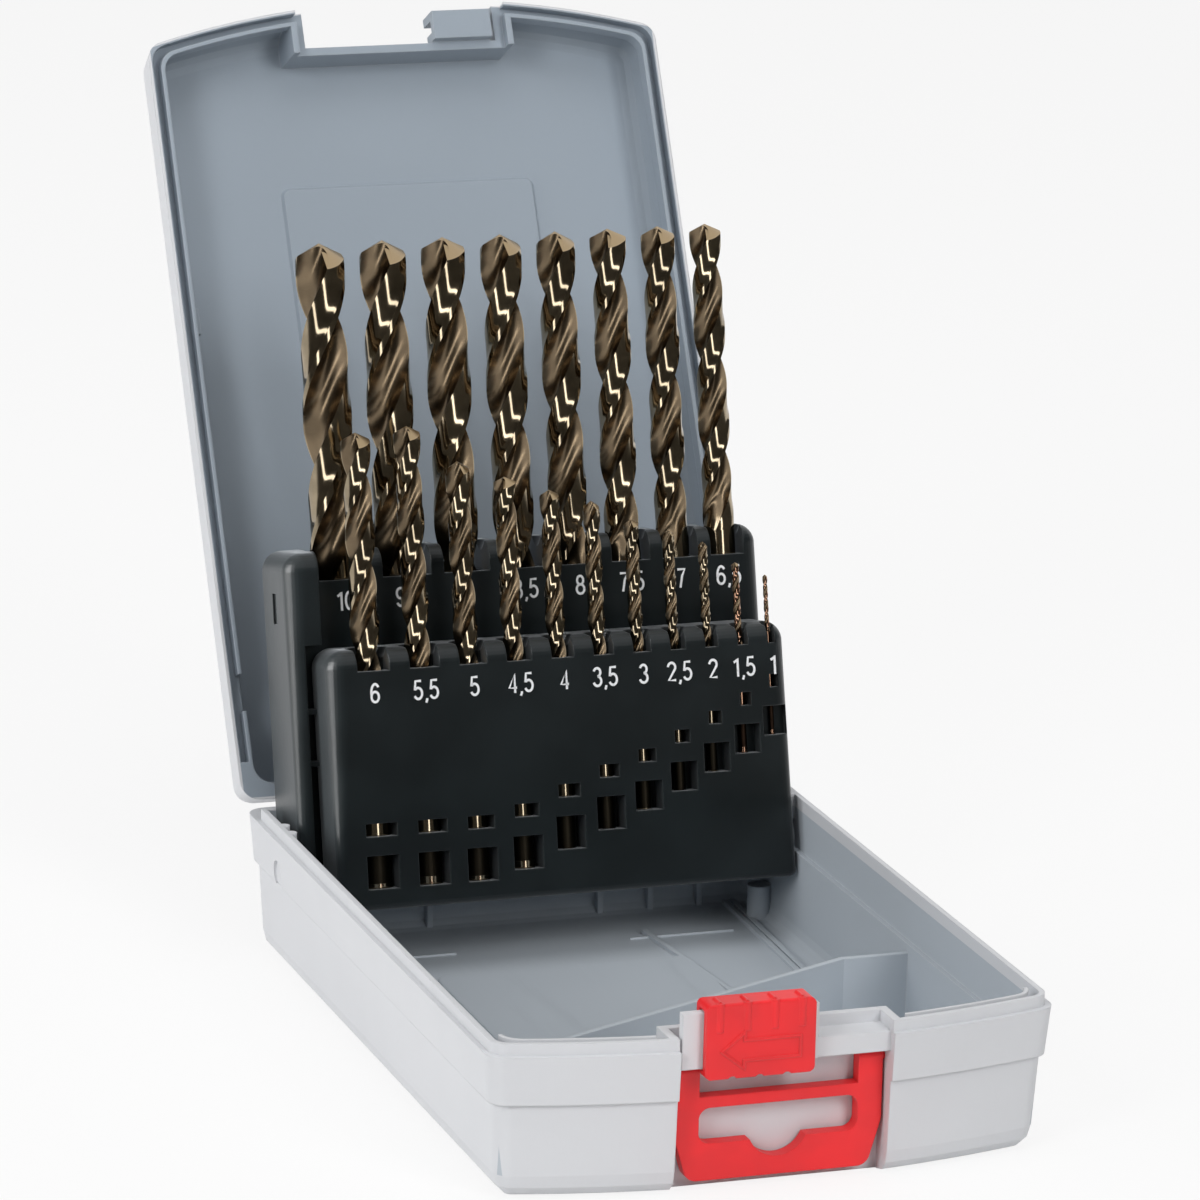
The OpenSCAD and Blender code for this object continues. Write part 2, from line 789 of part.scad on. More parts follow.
// raised outline of an arrow that points to the open side
module arrow() {
    length = 16;
    height = 5.6;
    head = 5;
    line = 0.5;
    cx = latch_x + latch_w / 2;
    cz = rail_z + 3.6;
    outline = [[-length / 2, 0], [head - length / 2, height / 2 + 1.2], [head - length / 2, height / 2 - 0.6],
               [length / 2, height / 2 - 0.6], [length / 2, 0.6 - height / 2],
               [head - length / 2, 0.6 - height / 2], [head - length / 2, -height / 2 - 1.2]];
    translate([cx, latch_face + eps, cz]) rotate([90, 0, 0]) linear_extrude(0.3)
        difference() {
            polygon(outline);
            offset(delta = -line) polygon(outline);
        }
}

module latch() {
    color(RED) difference() {
        union() {
            intersection() {
                translate([latch_x, 0, 0]) rotate([90, 0, 90]) linear_extrude(latch_w) latch_section();
                rotate([90, 0, 0]) linear_extrude(2 * case_l, center = true) latch_front();
            }
            latch_grips();
            arrow();
        }
        latch_scallops();
    }
}

// face of the hanger in X and Z
module hanger_outline() {
    half = hanger_w / 2;
    r = 2.6;
    difference() {
        hull() {
            for (side = [-1, 1]) {
                translate([side * (half - 1.4), -1.2]) circle(1.4);
                translate([side * (half - 1.2), -12]) circle(1.2);
                translate([side * (half - r - 2), -hanger_l + r]) circle(r);
            }
        }
        translate([-half + arm_w, bar_top - hanger_z]) square([hanger_w - 2 * arm_w, hanger_l]);
        hanger_slot();
    }
}

// slot for a peg: a long slot with a round dip in its lower edge
module hanger_slot() {
    low = slot_low - hanger_z;
    top = slot_top - hanger_z;
    inner = hanger_w / 2 - arm_w;
    r = 2.2;
    offset(r = r) offset(delta = -r) polygon([
        [-inner, top], [-inner, low + 1], [1.5 - inner, low], [inner - 1.5, low], [inner, low + 1], [inner, top]
    ]);
    intersection() {
        translate([0, low + 2.4]) circle(dip_r);
        translate([-dip_r, -hanger_l]) square([2 * dip_r, hanger_l + low + 1]);
    }
}

module hanger() {
    arm_in = hanger_w / 2 - arm_w;
    color(RED) translate([0, hanger_y, hanger_z]) {
        difference() {
            translate([0, hanger_t / 2, 0]) rotate([90, 0, 0]) linear_extrude(hanger_t) hanger_outline();
            box([-hanger_w, -hanger_t, -1.6], [hanger_w, hanger_t, 2]);
        }
        mirror_copy() rod(arm_in, hanger_w / 2, 0, 0, hanger_t / 2);
        mirror_copy() box([arm_in, -hanger_t / 2, -2.4], [hanger_w / 2, hanger_t / 2, 0]);
        mirror_copy() rod(hanger_w / 2 - 1, recess_x + wall - 0.2, 0, 0, hanger_pin_r);
    }
}

// ---- drill bits ------------------------------------------------------------------------------

// points of the cross-section through the two flutes at one height: angle and share of the radius
LAND = [[-36, 1], [0, 1], [36, 1], [62, 0.5], [90, 0.36], [118, 0.5]];
function drill_ring(r, z, twist) =
    [for (half = [0, 180]) for (p = LAND)
        let (a = p[0] + half + twist) [r * p[1] * cos(a), r * p[1] * sin(a), z]];

// twist drill standing on its shank: twisted flutes and a point of 130 degrees
module drill(size) {
    r = size[0] / 2;
    length = size[1];
    start = length - size[2];
    shoulder = length - r * tan(25);
    rise = 360 / (pitch_per_r * r);
    body = shoulder - start - r;
    count = ceil(body * rise / 28);
    rings = concat([drill_ring(0.9 * r, start - r, -rise * r)],
        [for (i = [0 : count]) let (z = r + body * i / count) drill_ring(r, start + z, rise * z)]);
    n = 2 * len(LAND);
    top = len(rings) - 1;
    sides = [for (i = [0 : top - 1]) for (j = [0 : n - 1])
        let (next = (j + 1) % n, low = i * n, high = low + n)
        each [[low + j, high + j, high + next], [low + j, high + next, low + next]]];
    tip = [for (j = [0 : n - 1]) [top * n + j, (top + 1) * n, top * n + (j + 1) % n]];
    foot = [[for (j = [0 : n - 1]) j]];
    cylinder(h = start, r = r);
    polyhedron(concat([for (ring = rings) each ring], [[0, 0, length]]), concat(sides, tip, foot));
}

module back_drill(k) {
    color(BRONZE) raised() translate([back_x(k), back_off(k), back_seat(k)]) drill(BACK_DRILLS[k]);
}

module front_drill(k) {
    color(BRONZE) raised() translate([front_x(k), front_off(k), front_seat(k)]) drill(FRONT_DRILLS[k]);
}

base_tray();
lid();
bit_holder();
latch();
hanger();
for (k = [0 : len(BACK_NAMES) - 1]) back_drill(k);
for (k = [0 : len(FRONT_NAMES) - 1]) front_drill(k);
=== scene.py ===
"""Looks of the drill bit case: its plastics, its ground twist drills, the printed sizes and the studio."""

import json
import math

import bpy
import numpy as np
from mathutils import Matrix, Vector

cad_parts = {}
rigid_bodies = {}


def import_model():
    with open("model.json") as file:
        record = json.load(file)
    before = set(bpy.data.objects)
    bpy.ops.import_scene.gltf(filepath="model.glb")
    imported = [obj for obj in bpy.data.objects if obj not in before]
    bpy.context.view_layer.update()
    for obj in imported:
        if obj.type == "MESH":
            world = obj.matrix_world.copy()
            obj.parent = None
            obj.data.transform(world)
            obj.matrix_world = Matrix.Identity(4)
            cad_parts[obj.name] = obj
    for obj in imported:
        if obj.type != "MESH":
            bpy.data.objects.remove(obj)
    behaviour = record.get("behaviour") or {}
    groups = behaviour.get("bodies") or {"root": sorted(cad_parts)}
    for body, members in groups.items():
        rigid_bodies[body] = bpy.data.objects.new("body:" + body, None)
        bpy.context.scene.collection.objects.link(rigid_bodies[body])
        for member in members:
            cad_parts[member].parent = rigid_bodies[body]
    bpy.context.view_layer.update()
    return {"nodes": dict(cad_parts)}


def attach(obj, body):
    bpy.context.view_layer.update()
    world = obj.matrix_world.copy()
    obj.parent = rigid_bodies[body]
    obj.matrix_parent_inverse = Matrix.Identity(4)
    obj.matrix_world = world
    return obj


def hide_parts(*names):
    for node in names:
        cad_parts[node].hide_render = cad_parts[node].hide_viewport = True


bl_info = {
    "name": "Drill Bit Case Looks",
    "version": (1, 0, 0),
    "blender": (4, 5, 0),
    "location": "View3D > Sidebar > Bit Case",
    "description": "Dresses the drill bit case with plastics, ground drills, printed sizes and a studio",
    "category": "Object",
}

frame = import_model()
MM = 0.001

# overall length and flute length of each drill by its diameter, in mm
BACK_DRILLS = [(10, 133, 87), (9.5, 125, 81), (9, 125, 81), (8.5, 117, 75),
               (8, 117, 75), (7.5, 109, 69), (7, 109, 69), (6.5, 101, 63)]
FRONT_DRILLS = [(6, 93, 57), (5.5, 93, 57), (5, 86, 52), (4.5, 80, 47), (4, 75, 43), (3.5, 70, 39),
                (3, 61, 33), (2.5, 57, 30), (2, 49, 24), (1.5, 40, 18), (1, 34, 12)]

# the raised holder: its pivot in the case, and the pivot's place in the holder's own frame, in mm.
# In that frame Y runs back from the front face and Z up from the foot.
HOLDER_PIVOT = (0.0, 58.5, 21.6)
PIVOT_OFF = 10.4
PIVOT_UP = 7.9
HOLDER_LEAN = 12.5
BACK_FACE = 13.8
FRONT_X = [-36.2, -25.45, -15.2, -5.45, 3.8, 12.55, 20.8, 28.55, 35.8, 42.55, 48.8]
BACK_X = [-37.2, -23.95, -11.2, 1.05, 12.8, 24.05, 34.8, 45.05]
FRONT_WALL = 2.0
BACK_WALL = 1.5
BACK_TIP = 134.0
# the front tier's bores: the lowest floor, the fourth bore's floor and the climb from each to the next, and
# how far each drill sinks below that
SEAT_LOW = 4.2
SEAT_FOURTH = 5.9
SEAT_STEP = 3.34
SINKS = [1.3, 0.6, 1.3, 0.7, 2.2, 3.3, 2, 3.9, 2.1, 1.1, 1.3]
# how far each drill is turned in its bore, in degrees
BACK_TURNS = [26, 26, 18, 31, 29, 7, 18, 11]
FRONT_TURNS = [21, 21, 39, -3, 27, 46, 28, 51, 85, 20, 50]

# a drill's shank against its full radius, and the heights of the dark band on the shank, painted shade of the
# bore it sits in, in mm
SHANK_SHARE = 0.99
SHANK_SHADE_BAND = (2.3, 10.3)

# the printed sizes: height of their middle above the holder's foot in each tier, in mm, and each digit's
# advance as a share of its height
BACK_PRINT_UP = 61.8
FRONT_PRINT_UP = 43.7
ADVANCE = {",": 0.28, "1": 0.5}
WIDE_ADVANCE = 0.62

# the case's walls as its colours need them, in m: half width and back of the room inside, half width and
# front of the latch recess, where the band below the rim starts and how far it steps out
ROOM_HALF = 0.0531
ROOM_BACK = 0.0777
RECESS_HALF = 0.0219
RECESS_FRONT = -0.0786
BAND_UP = 0.0198
BAND_STEP = 0.0014

# the lid: its hinge and how far it is open
LID_HINGE = (0.0, 81.8, 28.9)
LID_OPEN = 118.2

# centre of the arc of the case's bowed front, in m
BOW_CENTRE = 0.1115

# rays that see the white surroundings: the camera's own, and those that metal or glass sends on
WHITE_RAYS = ("Is Camera Ray", "Is Glossy Ray", "Is Transmission Ray")


def drill_name(diameter):
    """Name of a drill's node, such as drill_9_5."""
    return "drill_" + f"{diameter:.1f}".replace(".", "_")


def front_seat(k):
    """Height of drill k's shank above the holder's foot, in the front tier."""
    return max(SEAT_LOW, SEAT_FOURTH + SEAT_STEP * (k - 3)) - SINKS[k]


def raised(points):
    """Holder's own frame (mm) to the case's (m): set off from the pivot, lean back, and set at the pivot."""
    lean = math.radians(HOLDER_LEAN)
    x, y, z = points[..., 0], points[..., 1] - PIVOT_OFF, points[..., 2] - PIVOT_UP
    y2 = y * math.cos(lean) + z * math.sin(lean)
    z2 = z * math.cos(lean) - y * math.sin(lean)
    return (np.stack([x, y2, z2], axis=-1) + np.array(HOLDER_PIVOT)) * MM


# ---- shader maths ----------------------------------------------------------------------------------


class Signal:
    """A number on a socket of a finish's node tree. Sums and products of signals add Math nodes."""

    def __init__(self, finish, socket):
        self.finish = finish
        self.socket = socket

    def _math(self, operation, *values):
        return self.finish.put("ShaderNodeMath", {"operation": operation}, dict(enumerate(values)))

    def __add__(self, other):
        return self._math("ADD", self, other)

    __radd__ = __add__

    def __sub__(self, other):
        return self._math("SUBTRACT", self, other)

    def __rsub__(self, other):
        return self._math("SUBTRACT", other, self)

    def __mul__(self, other):
        return self._math("MULTIPLY", self, other)

    __rmul__ = __mul__

    def larger(self, other):
        """The larger of two numbers."""
        return self._math("MAXIMUM", self, other)

    def below(self, limit):
        """1 where the number is below a limit and 0 elsewhere."""
        return self._math("LESS_THAN", self, limit)

    def above(self, low, high):
        """0 below low, 1 above high, and a smooth rise between them."""
        settings = {"interpolation_type": "SMOOTHSTEP"}
        sockets = {"Value": self, "From Min": low, "From Max": high}
        return self.finish.put("ShaderNodeMapRange", settings, sockets)


class Finish:
    """A material with one Principled shader, built up node by node."""

    def __init__(self, name):
        self.material = bpy.data.materials.new(name)
        self.material.use_nodes = True
        self.tree = self.material.node_tree
        self.shader = next(n for n in self.tree.nodes if n.type == "BSDF_PRINCIPLED")

    def put(self, kind, settings=None, sockets=None, out=0):
        """Adds a node: its settings are set first, then the values or links of its sockets."""
        node = self.tree.nodes.new(kind)
        for key, value in (settings or {}).items():
            setattr(node, key, value)
        for key, value in (sockets or {}).items():
            self.feed(node.inputs[key], value)
        return Signal(self, node.outputs[out])

    def feed(self, socket, value):
        """Links a signal to a socket, or sets the socket's own value."""
        if isinstance(value, Signal):
            self.tree.links.new(value.socket, socket)
        elif hasattr(socket.default_value, "__len__") and len(socket.default_value) == 4:
            socket.default_value = colour4(value)
        else:
            socket.default_value = value

    def set(self, **sockets):
        """Sets the Principled shader's sockets; a name's underscores stand for spaces."""
        for key, value in sockets.items():
            self.feed(self.shader.inputs[key.replace("_", " ")], value)

    def place(self):
        """Object coordinates."""
        return self.put("ShaderNodeTexCoord", out=3)

    def facing(self):
        """The surface's direction in the piece's own frame."""
        return self.put("ShaderNodeTexCoord", out=1)

    def turned(self, rotation, scale):
        """Object coordinates, turned and stretched."""
        return self.put("ShaderNodeMapping", {}, {
            "Vector": self.place(), "Rotation": rotation, "Scale": scale})

    def attribute(self, name):
        """A number kept at the mesh's points."""
        return self.put("ShaderNodeAttribute", {"attribute_name": name}, out=2)

    def noise(self, scale, detail, where=None):
        """Soft noise from 0 to 1, with features of about 1/scale metres."""
        return self.put("ShaderNodeTexNoise", {}, {
            "Vector": where or self.place(), "Scale": scale, "Detail": detail})

    def mix(self, factor, a, b):
        """Colour a where factor is 0 and b where it is 1."""
        return self.put("ShaderNodeMix", {"data_type": "RGBA"}, {0: factor, 6: a, 7: b}, out=2)

    def size(self, number):
        """A number without its sign."""
        return self.put("ShaderNodeMath", {"operation": "ABSOLUTE"}, {0: number})

    def axis(self, vector, name):
        """One of a vector's numbers."""
        return self.put("ShaderNodeSeparateXYZ", {}, {0: vector}, out="XYZ".index(name))

    def bevel(self, radius):
        """Normal of the surface with its edges rounded by that radius."""
        return self.put("ShaderNodeBevel", {"samples": 6}, {"Radius": radius})

    def edges(self, rounded):
        """1 on sharp edges, from how far the rounded normal turns from the face's own."""
        own = self.put("ShaderNodeNewGeometry", out=3)
        turn = self.put("ShaderNodeVectorMath", {"operation": "DOT_PRODUCT"}, {0: rounded, 1: own}, out=1)
        return (1.0 - turn).above(0.02, 0.25)

    def bump(self, height, distance, normal=None):
        """Normal of the surface raised by the height times the distance."""
        sockets = {"Height": height, "Distance": distance}
        if normal is not None:
            sockets["Normal"] = normal
        return self.put("ShaderNodeBump", {}, sockets)


def colour4(colour):
    """A colour with full alpha."""
    return (colour[0], colour[1], colour[2], 1.0)


def shade(colour, factor):
    """A colour made lighter or darker."""
    return tuple(min(1.0, max(0.0, c * factor)) for c in colour[:3])


def dress(finish, *nodes):
    """Gives CAD nodes a finish."""
    for node in nodes:
        for slot in frame["nodes"][node].material_slots:
            slot.material = finish.material


# ---- meshes ----------------------------------------------------------------------------------------


def new_piece(name, points, faces, finish, sharp=math.radians(180)):
    """An object at the origin from an array of points (m) and a list of faces, smooth but for sharp edges."""
    mesh = bpy.data.meshes.new(name)
    mesh.from_pydata(points.reshape(-1, 3).tolist(), [], faces)
    mesh.update()
    mesh.polygons.foreach_set("use_smooth", np.ones(len(mesh.polygons), dtype=bool))
    mesh.set_sharp_from_angle(angle=sharp)
    mesh.materials.append(finish.material)
    piece = bpy.data.objects.new(name, mesh)
    bpy.context.scene.collection.objects.link(piece)
    return piece


def tube_faces(rows, columns):
    """Quads of a grid of rows round an axis, each joined to the next, closed by the last column."""
    i, j = np.meshgrid(np.arange(rows - 1), np.arange(columns), indexing="ij")
    k = (j + 1) % columns
    low, high = i * columns, (i + 1) * columns
    return np.stack([low + j, low + k, high + k, high + j], axis=-1).reshape(-1, 4).tolist()


def digit_lines(digit):
    """Centre lines of a digit or a comma, 1 high and about 0.5 wide, each a list of points."""
    def arc(cx, cy, rx, ry, a0, a1):
        a = np.radians(np.linspace(a0, a1, 17))
        return np.stack([cx + rx * np.cos(a), cy + ry * np.sin(a)], axis=-1)

    def line(*points):
        return np.array(points, dtype=float)

    shapes = {
        "0": [arc(0.25, 0.5, 0.22, 0.45, 0, 360)],
        "1": [line((0.06, 0.74), (0.18, 0.80), (0.29, 0.95), (0.29, 0.0))],
        "2": [np.concatenate([arc(0.25, 0.72, 0.21, 0.23, 175, -25), line((0.06, 0.06), (0.48, 0.06))])],
        "3": [np.concatenate([arc(0.25, 0.74, 0.19, 0.21, 165, -80), arc(0.25, 0.29, 0.22, 0.24, 80, -165)])],
        "4": [line((0.48, 0.26), (0.04, 0.26), (0.36, 0.95), (0.36, 0.0))],
        "5": [np.concatenate([line((0.44, 0.95), (0.12, 0.95), (0.07, 0.5)),
                              arc(0.25, 0.33, 0.22, 0.28, 135, -155)])],
        "6": [arc(0.25, 0.31, 0.21, 0.26, 0, 360), arc(0.27, 0.5, 0.23, 0.45, 40, 190)],
        "7": [line((0.04, 0.94), (0.47, 0.94), (0.30, 0.6), (0.18, 0.0))],
        "8": [arc(0.25, 0.73, 0.18, 0.22, 0, 360), arc(0.25, 0.28, 0.22, 0.24, 0, 360)],
        "9": [arc(0.25, 0.69, 0.21, 0.26, 0, 360), arc(0.23, 0.5, 0.23, 0.45, -140, 10)],
        ",": [line((0.12, 0.06), (0.12, -0.02), (0.06, -0.16))],
    }
    return shapes[digit]


def ribbon(line, width, first):
    """A band of even width along a line, as flat points and quads numbered from the first point on."""
    step = np.gradient(line, axis=0)
    step = step / np.linalg.norm(step, axis=1)[:, None]
    side = np.stack([-step[:, 1], step[:, 0]], axis=-1) * width / 2
    points = np.concatenate([line + side, line - side])
    n = len(line)
    k = np.arange(n - 1)
    return points, (np.stack([k + n, k + n + 1, k + 1, k], axis=-1) + first).tolist()


def half_section(web):
    """Half of a twist drill's section, from one lip to the next, on a radius of 1.

    The flute is a cubic Bezier curve from the lip's corner, in past the web and out to the heel. The land is
    an arc that comes in a little from the heel, then a flat that runs on straight from it and rises to the
    margin, an arc at full size. The three results are the points, how deep each lies in the flute, and how
    much of the point's relief it takes, each of the last two from 0 to 1.
    """
    t = np.linspace(0, 1, 25)[:, None]
    heel, flat, margin = np.radians([98, 141, 165])
    low, swell = 0.915, 0.064
    heel_r = low + swell * (flat - heel) ** 2
    ends = np.array([[1.0, 0.0], [0.62 * web, -0.1 * web], [-0.3 * web, 0.8 * web],
                     [heel_r * np.cos(heel), heel_r * np.sin(heel)]])
    flute = ((1 - t) ** 3 * ends[0] + 3 * (1 - t) ** 2 * t * ends[1]
             + 3 * (1 - t) * t ** 2 * ends[2] + t ** 3 * ends[3])
    arc_a, flat_a = np.linspace(heel, flat, 9)[1:], np.linspace(flat, margin, 7)[1:-1]
    margin_a = np.linspace(margin, np.pi, 5)[:-1]
    angles = np.concatenate([arc_a, flat_a, margin_a])
    reach = np.concatenate([low + swell * (flat - arc_a) ** 2, low / np.cos(flat_a - flat), 1 + 0 * margin_a])
    land = reach[:, None] * np.stack([np.cos(angles), np.sin(angles)], axis=-1)
    hollow = np.concatenate([np.sin(np.pi * t[:, 0]) ** 0.5, 0 * angles])
    relief = np.concatenate([np.clip(2 * t[:, 0] - 1, 0, 1), 1 - ((angles - heel) / (np.pi - heel)) ** 2])
    return np.concatenate([flute, land]), hollow, relief


def drill_surface(diameter, length, flute, turn, settings):
    """Points of a twist drill on its own axis (mm), its faces, and marks of its flutes, its dark band of
    painted bore shade and its point.

    Rows run from the shank to the point and columns go round. The section makes a full turn for each pitch
    and stands at the given turn (degrees) at the tip. Its flutes grow from nothing over the run-out, and each
    column of the body ends where it meets the cone of the point. The cone falls away behind each lip by the
    relief.
    """
    radius = diameter / 2
    start = length - flute
    half, hollow, relief = half_section(settings.web)
    section = np.concatenate([half, -half])
    hollow = np.concatenate([hollow, hollow])
    relief = np.concatenate([relief, relief])
    polar = np.arctan2(section[:, 1], section[:, 0])
    reach = np.hypot(section[:, 0], section[:, 1])
    slope = math.tan(math.radians(90 - settings.point_angle / 2)) + settings.point_relief * relief
    pitch = math.pi * diameter / math.tan(math.radians(settings.helix))

    turns = flute / pitch
    rows = int(math.ceil(turns * settings.rows_per_turn)) + 8
    v = np.linspace(0, 1, rows)[:, None]
    end = length - reach * radius * slope
    z = start + (end - start)[None, :] * v
    grown = np.clip((z - start) / (settings.run_out * diameter), 0, 1)
    grown = grown * grown * (3 - 2 * grown)
    body_r = radius * (SHANK_SHARE * (1 - grown) + reach[None, :] * grown)
    angle = polar[None, :] + 2 * math.pi * (z - length) / pitch + math.radians(turn)

    chamfer, step = 0.12 * radius, 0.1
    band_low, band_high = SHANK_SHADE_BAND
    rows_z = [0, chamfer, band_low - step, band_low, band_high, band_high + step]
    shank_z = np.array(rows_z + [max(start - 0.01, band_high + 2 * step)])[:, None] + 0 * z[:1]
    shank_r = np.array([radius * SHANK_SHARE - chamfer] + [radius * SHANK_SHARE] * 6)[:, None] + 0 * z[:1]
    shank_a = polar[None, :] + 0 * shank_z

    w = np.array([0.99, 0.8, 0.55, 0.3, 0.1])[:, None]
    tip_r = body_r[-1:] * w
    tip_z = length - tip_r * slope[None, :]
    tip_a = angle[-1:] + 0 * tip_r

    r = np.concatenate([shank_r, body_r, tip_r])
    a = np.concatenate([shank_a, angle, tip_a])
    z = np.concatenate([shank_z, z, tip_z])
    depth = np.concatenate([np.zeros_like(shank_z), grown * hollow[None, :], 0 * tip_r])
    point = np.concatenate([np.zeros_like(shank_z), 0 * body_r, 0 * tip_r + 1])
    grid = np.stack([r * np.cos(a), r * np.sin(a), z], axis=-1)
    n_rows, n_cols = r.shape
    points = np.concatenate([grid.reshape(-1, 3), [[0, 0, 0], [0, 0, length]]])
    # the band of the shank that sits down in the bore, which is painted dark as painted shade
    bore_shade = np.zeros((n_rows, n_cols))
    bore_shade[rows_z.index(band_low):rows_z.index(band_high) + 1] = 1
    marks = {"flute_depth": np.concatenate([depth.reshape(-1), [0, 0]]),
             "bore_shade": np.concatenate([bore_shade.reshape(-1), [0, 0]]),
             "point": np.concatenate([point.reshape(-1), [0, 1]])}
    j = np.arange(n_cols)
    k = (j + 1) % n_cols
    last = (n_rows - 1) * n_cols
    foot = np.stack([k, j, np.full(n_cols, n_rows * n_cols)], axis=-1).tolist()
    peak = np.stack([last + j, last + k, np.full(n_cols, n_rows * n_cols + 1)], axis=-1).tolist()
    return points, tube_faces(n_rows, n_cols) + foot + peak, marks


# ---- settings --------------------------------------------------------------------------------------


def colour_prop(name, text, value):
    return bpy.props.FloatVectorProperty(name=name, description=text, default=value, size=3, min=0, max=1,
                                         subtype="COLOR")


class PlasticSettings(bpy.types.PropertyGroup):
    """Colours and grain of the moulded plastics."""

    outer_grey: colour_prop("Outer grey", "Textured outside of the case", (0.68, 0.69, 0.715))
    # the inside greys are darker than the outer grey: painted shade inside the case's walls
    tray_grey_and_shade: colour_prop("Tray grey", "Smooth inside of the base", (0.48, 0.525, 0.57))
    lid_grey_and_shade: colour_prop("Lid grey", "Smooth inside of the lid", (0.325, 0.375, 0.43))
    black: colour_prop("Holder black", "Plastic of the bit holder", (0.006, 0.009, 0.010))
    red: colour_prop("Red", "Plastic of the latch and the hanger", (0.86, 0.022, 0.027))
    roughness: bpy.props.FloatProperty(name="Roughness", description="Roughness of the grey plastic",
                                       default=0.5, min=0.1, max=1)
    grain: bpy.props.FloatProperty(name="Grain", description="Size of the moulded grain's features",
                                   default=0.0005, min=0.0001, max=0.003, subtype="DISTANCE", unit="LENGTH")
    soft_edge: bpy.props.FloatProperty(name="Soft edge", description="Radius that moulded edges show",
                                       default=0.0004, min=0, max=0.001, subtype="DISTANCE", unit="LENGTH")


class DrillSettings(bpy.types.PropertyGroup):
    """Shape and colour of the twist drills."""

    helix: bpy.props.FloatProperty(name="Helix", description="Angle of the flutes, in degrees", default=28,
                                   min=15, max=45)
    point_angle: bpy.props.FloatProperty(name="Point", description="Angle of the point, in degrees",
                                         default=130, min=90, max=150)
    point_relief: bpy.props.FloatProperty(name="Relief", description="Fall of the point behind its lips",
                                          default=0.64, min=0, max=1)
    web: bpy.props.FloatProperty(name="Web", description="Thickness of the web, as a share of the radius",
                                 default=0.36, min=0.2, max=0.6)
    run_out: bpy.props.FloatProperty(name="Run-out",
                                     description="Length over which the flutes grow, in diameters",
                                     default=1.3, min=0.2, max=3)
    rows_per_turn: bpy.props.IntProperty(name="Rows", description="Rows of the mesh in each turn", default=44,
                                         min=8, max=64)
    bronze: colour_prop("Bronze", "Heat colour of the polished lands", (0.34, 0.28, 0.195))
    gold: colour_prop("Gold", "Heat colour of the satin flutes", (0.185, 0.138, 0.088))
    point: colour_prop("Point", "Freshly ground point", (0.40, 0.30, 0.18))
    copper: colour_prop("Copper", "Heat colour of the smallest drills", (0.40, 0.20, 0.13))


class SizeMarkSettings(bpy.types.PropertyGroup):
    """The drill sizes printed on the holder."""

    front_height: bpy.props.FloatProperty(name="Front height",
                                          description="Height of the front tier's numbers",
                                          default=0.0040, subtype="DISTANCE", unit="LENGTH")
    back_height: bpy.props.FloatProperty(name="Back height", description="Height of the back tier's numbers",
                                         default=0.0040, subtype="DISTANCE", unit="LENGTH")
    narrow: bpy.props.FloatProperty(name="Narrowing",
                                    description="Width of the numbers against their normal width",
                                    default=0.93, min=0.5, max=1.5)
    weight: bpy.props.FloatProperty(name="Weight",
                                    description="Width of the strokes, as a share of the height",
                                    default=0.13, min=0.05, max=0.2)
    proud: bpy.props.FloatProperty(name="Thickness", description="Thickness of the print", default=0.00005,
                                   subtype="DISTANCE", unit="LENGTH")
    white: colour_prop("Print", "Colour of the print", (0.86, 0.87, 0.88))


class StudioSettings(bpy.types.PropertyGroup):
    """Camera, floor and lights."""

    camera_place: bpy.props.FloatVectorProperty(name="Camera", description="Place of the camera",
                                                default=(-0.439212, -1.234560, 0.447809),
                                                subtype="TRANSLATION", unit="LENGTH")
    heading: bpy.props.FloatProperty(name="Heading",
                                     description="Turn of the camera to the right of +Y, in degrees",
                                     default=19.228)
    dip: bpy.props.FloatProperty(name="Dip", description="How far the camera looks down, in degrees",
                                 default=15.227)
    roll: bpy.props.FloatProperty(name="Roll", description="Roll of the camera, in degrees", default=1.307)
    lens: bpy.props.FloatProperty(name="Lens", description="Focal length in mm on a 36 mm sensor",
                                  default=210.567)
    shift: bpy.props.FloatVectorProperty(name="Shift", description="Shift of the lens", size=2,
                                         default=(0.00044, -0.00304))
    floor: colour_prop("Floor", "Colour of the floor", (0.88, 0.88, 0.88))
    card: colour_prop("Card", "Colour of the dark card that the metal mirrors", (0.11, 0.105, 0.095))
    sky: bpy.props.FloatProperty(name="Sky", description="Strength of the even light from all round",
                                 default=0.33, min=0, max=2)


# ---- finishes --------------------------------------------------------------------------------------


def moulded_grain(finish, size, rounded, depth=0.00003):
    """Bump of a fine moulded grain over rounded edges, with long faint waves from the mould."""
    fine = finish.noise(0.35 / size, 3.0)
    waves = finish.noise(28.0, 1.0)
    return finish.bump(fine * 0.6 + waves * 0.4, depth, rounded)


def inside_walls(finish, x, y, z, spread, front_radius, low, high):
    """1 inside the case's walls: across, along, behind the bowed front and between two heights.
    All lengths are in metres, in the closed case's frame."""
    front = finish.put("ShaderNodeVectorMath", {"operation": "LENGTH"}, {
        0: finish.put("ShaderNodeCombineXYZ", {}, {0: x, 1: y - BOW_CENTRE})}, out=1)
    room = ((finish.size(x) - spread).below(ROOM_HALF) * (y - spread).below(ROOM_BACK)
            * (front - spread).below(front_radius))
    return room * z.below(high) * (1.0 - z.below(low))


def inside_tray(finish):
    """Inside of the base: its walls step outwards at the band below the rim, and the latch recess and faces
    that look down are outside."""
    place = finish.place()
    x, y, z = (finish.axis(place, name) for name in "XYZ")
    spread = (1.0 - z.below(BAND_UP)) * BAND_STEP
    recess = finish.size(x).below(RECESS_HALF) * y.below(RECESS_FRONT)
    outside = finish.axis(finish.facing(), "Z").below(-0.08)
    return inside_walls(finish, x, y, z, spread, 0.1971, 0.0009, 0.0287) * (1.0 - recess) * (1.0 - outside)


